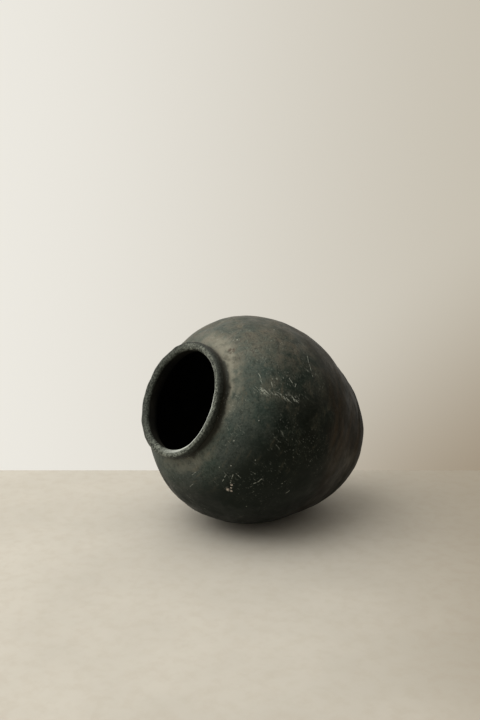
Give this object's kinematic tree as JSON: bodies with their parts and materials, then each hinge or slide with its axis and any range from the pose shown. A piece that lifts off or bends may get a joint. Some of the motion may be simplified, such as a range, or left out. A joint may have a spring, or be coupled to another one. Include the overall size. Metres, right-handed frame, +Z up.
{
  "type": "clay pot",
  "caption": "Round-bottomed black clay pot with a short neck and a thick rolled lip, lying on its side with its mouth turned up.",
  "frame": {"origin": "on the ground, at the centre of the pot's bounding box", "axes": "+Z up; the pot's own axis lies in the YZ plane, and its mouth faces -Y and 23 degrees upwards"},
  "size_m": [0.3192, 0.3606, 0.3201],
  "materials": {
    "burnished_clay": "stone-burnished, smoke-fired black with a dull green and brown bloom, scratched",
    "smoked_clay": "smoke-fired brown-black, lightly burnished",
    "worn_clay": "matt grey, rubbed and speckled along the edges"
  },
  "bodies": {
    "root": {"base_bowl": "smoked_clay", "lower_wall_coil": "burnished_clay", "flaring_wall_coil": "burnished_clay", "lower_belly_coil": "burnished_clay", "upper_belly_coil": "burnished_clay", "lower_shoulder_coil": "burnished_clay", "upper_shoulder_coil": "burnished_clay", "neck_collar": "burnished_clay", "rim_lip": "worn_clay"}
  },
  "joints": []
}
